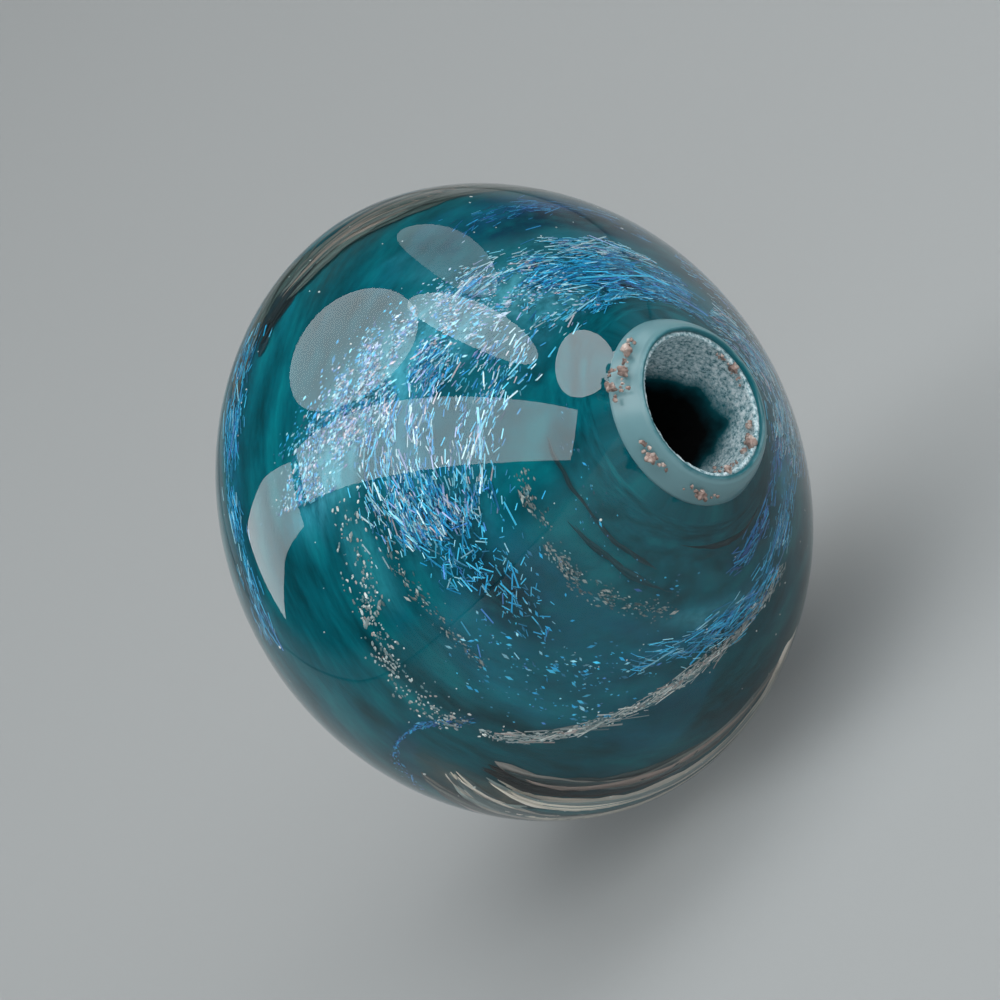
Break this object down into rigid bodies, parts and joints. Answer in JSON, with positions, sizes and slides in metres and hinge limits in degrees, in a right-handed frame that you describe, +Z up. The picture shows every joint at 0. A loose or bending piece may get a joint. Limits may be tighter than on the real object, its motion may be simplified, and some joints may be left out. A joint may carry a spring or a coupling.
{
  "type": "lampwork glass bead",
  "caption": "Squat round torch-wound glass bead: teal core with sparkling dichroic ribbons under a clear casing, a rolled lip at each end of its bore.",
  "frame": {"origin": "middle of the bore, halfway between the two lips", "axes": "+X along the bore towards the lip with the clay crumbs; +Z up, the bead lying on its side; the widest ribbon faces up and to -Y"},
  "size_m": [0.013, 0.015, 0.015],
  "materials": {
    "clear_glass": "fire-polished clear soda-lime glass",
    "teal_glass": "dense teal glass, fire polished",
    "lip_glass": "teal glass with a thin clear skin, fire polished",
    "dichroic_glass": "metal-oxide flakes, blue to violet sparkle",
    "beige_foil": "crackled pale foil in glass",
    "release_clay": "fine matte clay residue",
    "crumb_clay": "rough clay grains"
  },
  "bodies": {
    "root": {"clear_casing": "clear_glass", "core_footprint": "teal_glass", "core_wrap_mouth": "teal_glass", "core_wrap_middle": "teal_glass", "core_wrap_far": "teal_glass", "lip_mouth": "lip_glass", "lip_far": "lip_glass", "release_coat": "release_clay", "shoulder_ribbon_front": "dichroic_glass", "shoulder_ribbon_over": "dichroic_glass", "shoulder_ribbon_under": "dichroic_glass", "shoulder_ribbon_rear": "dichroic_glass", "waist_ribbon_front": "dichroic_glass", "waist_ribbon_rear": "dichroic_glass", "far_end_ribbon": "dichroic_glass", "foil_top": "beige_foil", "foil_under": "beige_foil", "foil_rear": "beige_foil", "strand_front": "beige_foil", "strand_under": "beige_foil", "release_crumb_1": "crumb_clay", "release_crumb_2": "crumb_clay", "release_crumb_3": "crumb_clay", "release_crumb_4": "crumb_clay", "release_crumb_5": "crumb_clay", "release_crumb_6": "crumb_clay", "release_crumb_7": "crumb_clay", "release_crumb_8": "crumb_clay"}
  },
  "joints": []
}
